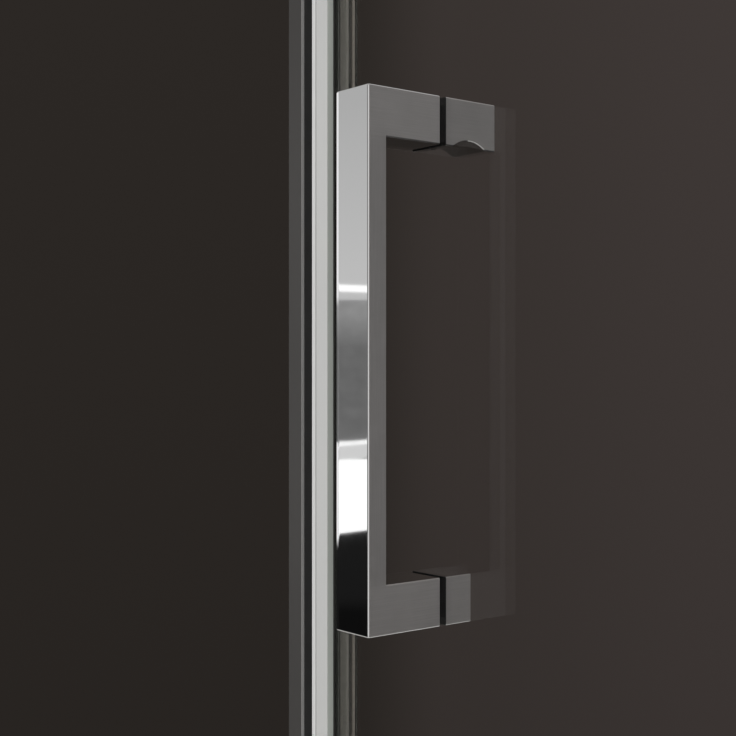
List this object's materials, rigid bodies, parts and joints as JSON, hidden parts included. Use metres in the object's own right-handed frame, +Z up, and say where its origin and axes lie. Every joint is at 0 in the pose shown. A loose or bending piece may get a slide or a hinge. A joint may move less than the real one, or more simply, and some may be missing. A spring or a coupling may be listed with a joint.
{
  "type": "shower door",
  "caption": "Frameless swinging shower door: clear glass leaf on pin hinges, C-shaped pull handle bolted through the glass, magnetic edge seals and telescopic wall profiles.",
  "frame": {"origin": "on the tray, in the middle of the opening and of the glass's thickness", "axes": "+X to the hinge side seen from outside, +Y into the shower, +Z up"},
  "size_m": [0.8, 0.0989, 1.953],
  "materials": {
    "dark_profile": "satin dark grey anodised",
    "light_profile": "satin light grey anodised",
    "black_rubber": "matt black",
    "magnet": "matt near-black",
    "steel": "plain steel",
    "dark_plastic": "fine grained",
    "chrome": "polished faces with brushed sides",
    "nylon": "natural nylon",
    "clear_glass": "clear toughened glass with polished edges",
    "clear_seal": "clear soft plastic"
  },
  "bodies": {
    "frame": {"strike_wall_channel": "dark_profile", "strike_adjusting_profile": "light_profile", "strike_channel_gaskets": "black_rubber", "strike_magnet_strip": "magnet", "strike_clamp_screws": "steel", "strike_top_cap": "dark_plastic", "hinge_wall_channel": "dark_profile", "hinge_post": "light_profile", "hinge_clamp_screws": "steel", "hinge_top_cap": "dark_plastic", "threshold_bar": "light_profile", "upper_hinge_wall_bracket": "chrome", "lower_hinge_wall_bracket": "chrome", "hinge_bracket_screws": "steel", "hinge_nut_plates": "steel", "upper_hinge_bushes": "nylon", "lower_hinge_bushes": "nylon"},
    "door_leaf": {"glass_pane": "clear_glass", "handle_bar": "chrome", "handle_outer_gaskets": "black_rubber", "handle_inner_gaskets": "black_rubber", "upper_inner_grip": "chrome", "lower_inner_stub": "chrome", "handle_studs": "steel", "handle_hole_sleeves": "nylon", "handle_grub_screws": "steel", "closing_edge_seal": "clear_seal", "door_magnet_strip": "magnet", "hinge_edge_seal": "clear_seal", "bottom_sweep": "clear_seal", "upper_hinge_outer_plate": "chrome", "upper_hinge_inner_plate": "chrome", "lower_hinge_outer_plate": "chrome", "lower_hinge_inner_plate": "chrome", "upper_hinge_pin": "steel", "lower_hinge_pin": "steel", "hinge_outer_gaskets": "black_rubber", "hinge_inner_gaskets": "black_rubber", "hinge_plate_screws": "steel", "hinge_hole_sleeves": "nylon"}
  },
  "joints": [
    {"name": "door_swing", "type": "hinge", "parent": "frame", "child": "door_leaf", "pos_m": [0.3382, 0, 0.975], "axis": [0, 0, 1], "range_deg": [0, 100]}
  ]
}
